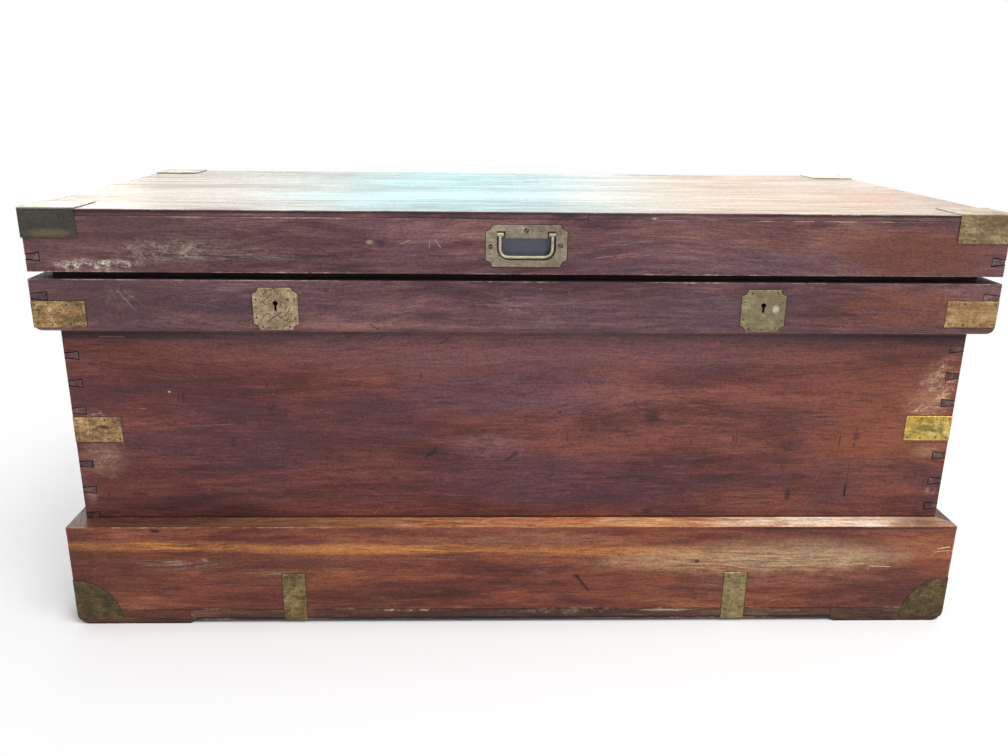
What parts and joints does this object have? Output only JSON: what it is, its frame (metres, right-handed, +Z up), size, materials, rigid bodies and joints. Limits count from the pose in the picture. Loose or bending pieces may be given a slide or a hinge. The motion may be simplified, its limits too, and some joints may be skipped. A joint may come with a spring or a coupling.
{
  "type": "campaign chest",
  "caption": "Lidded campaign trunk in dark hardwood on a deep plinth, with let-in brass corners and straps, box locks, flush swinging handles and a hinged lid.",
  "frame": {"origin": "on the floor under the middle of the chest", "axes": "+X along the chest to the viewer's right, +Y from the lock front to the hinged back, +Z up"},
  "size_m": [1.0728, 0.5068, 0.5027],
  "materials": {
    "lid_wood": "waxed dark red hardwood, scratched",
    "body_wood": "waxed dark red hardwood, satin",
    "plinth_wood": "worn brown hardwood with honey streaks",
    "inside_wood": "bare, dry and dusty",
    "brass": "aged, dull and spotted",
    "dark_brass": "tarnished dark olive",
    "lock_brass": "dull, oiled",
    "steel": "dull, oiled"
  },
  "bodies": {
    "chest": {"front_board": "body_wood", "back_board": "body_wood", "left_end_board": "body_wood", "right_end_board": "body_wood", "front_band": "body_wood", "back_band": "body_wood", "left_end_band": "body_wood", "right_end_band": "body_wood", "front_plinth": "plinth_wood", "back_plinth": "plinth_wood", "left_end_plinth": "plinth_wood", "right_end_plinth": "plinth_wood", "front_plinth_strip": "plinth_wood", "front_left_foot": "plinth_wood", "back_left_foot": "plinth_wood", "front_right_foot": "plinth_wood", "back_right_foot": "plinth_wood", "bottom_board": "inside_wood", "front_left_band_strap": "brass", "back_left_band_strap": "brass", "front_right_band_strap": "brass", "back_right_band_strap": "brass", "front_left_body_strap": "brass", "back_left_body_strap": "brass", "front_right_body_strap": "brass", "back_right_body_strap": "brass", "left_plinth_strap": "brass", "right_plinth_strap": "brass", "left_escutcheon": "brass", "right_escutcheon": "brass", "left_hinge_lower_leaf": "brass", "right_hinge_lower_leaf": "brass", "left_end_handle_plate": "brass", "right_end_handle_plate": "brass", "front_left_plinth_corner": "dark_brass", "back_left_plinth_corner": "dark_brass", "front_right_plinth_corner": "dark_brass", "back_right_plinth_corner": "dark_brass", "left_lock_case": "lock_brass", "right_lock_case": "lock_brass"},
    "lid": {"lid_top": "lid_wood", "lid_front_skirt": "lid_wood", "lid_back_skirt": "lid_wood", "lid_left_skirt": "lid_wood", "lid_right_skirt": "lid_wood", "lid_lock_rail": "inside_wood", "lid_front_left_corner": "dark_brass", "lid_back_left_corner": "dark_brass", "lid_front_right_corner": "dark_brass", "lid_back_right_corner": "dark_brass", "lid_handle_plate": "brass", "left_link_plate": "lock_brass", "right_link_plate": "lock_brass", "left_hinge_upper_leaf": "brass", "right_hinge_upper_leaf": "brass"},
    "lid_bail": {"lid_handle_bail": "brass"},
    "left_end_bail": {"left_end_handle_bail": "brass"},
    "right_end_bail": {"right_end_handle_bail": "brass"},
    "left_bolt": {"left_lock_bolt": "steel"},
    "right_bolt": {"right_lock_bolt": "steel"}
  },
  "joints": [
    {"name": "lid_hinge", "type": "hinge", "parent": "chest", "child": "lid", "pos_m": [0, 0.246, 0.4294], "axis": [-1, 0, 0], "range_deg": [0, 100]},
    {"name": "lid_handle_swing", "type": "hinge", "parent": "lid", "child": "lid_bail", "pos_m": [0.0044, -0.2471, 0.477], "axis": [-1, 0, 0], "range_deg": [0, 100]},
    {"name": "left_end_handle_swing", "type": "hinge", "parent": "chest", "child": "left_end_bail", "pos_m": [-0.5132, 0, 0.2801], "axis": [0, 1, 0], "range_deg": [0, 100]},
    {"name": "right_end_handle_swing", "type": "hinge", "parent": "chest", "child": "right_end_bail", "pos_m": [0.5132, 0, 0.2801], "axis": [0, -1, 0], "range_deg": [0, 100]},
    {"name": "left_lock_slide", "type": "slide", "parent": "chest", "child": "left_bolt", "axis": [-1, 0, 0], "range_m": [0, 0.008]},
    {"name": "right_lock_slide", "type": "slide", "parent": "chest", "child": "right_bolt", "axis": [1, 0, 0], "range_m": [0, 0.008]}
  ]
}
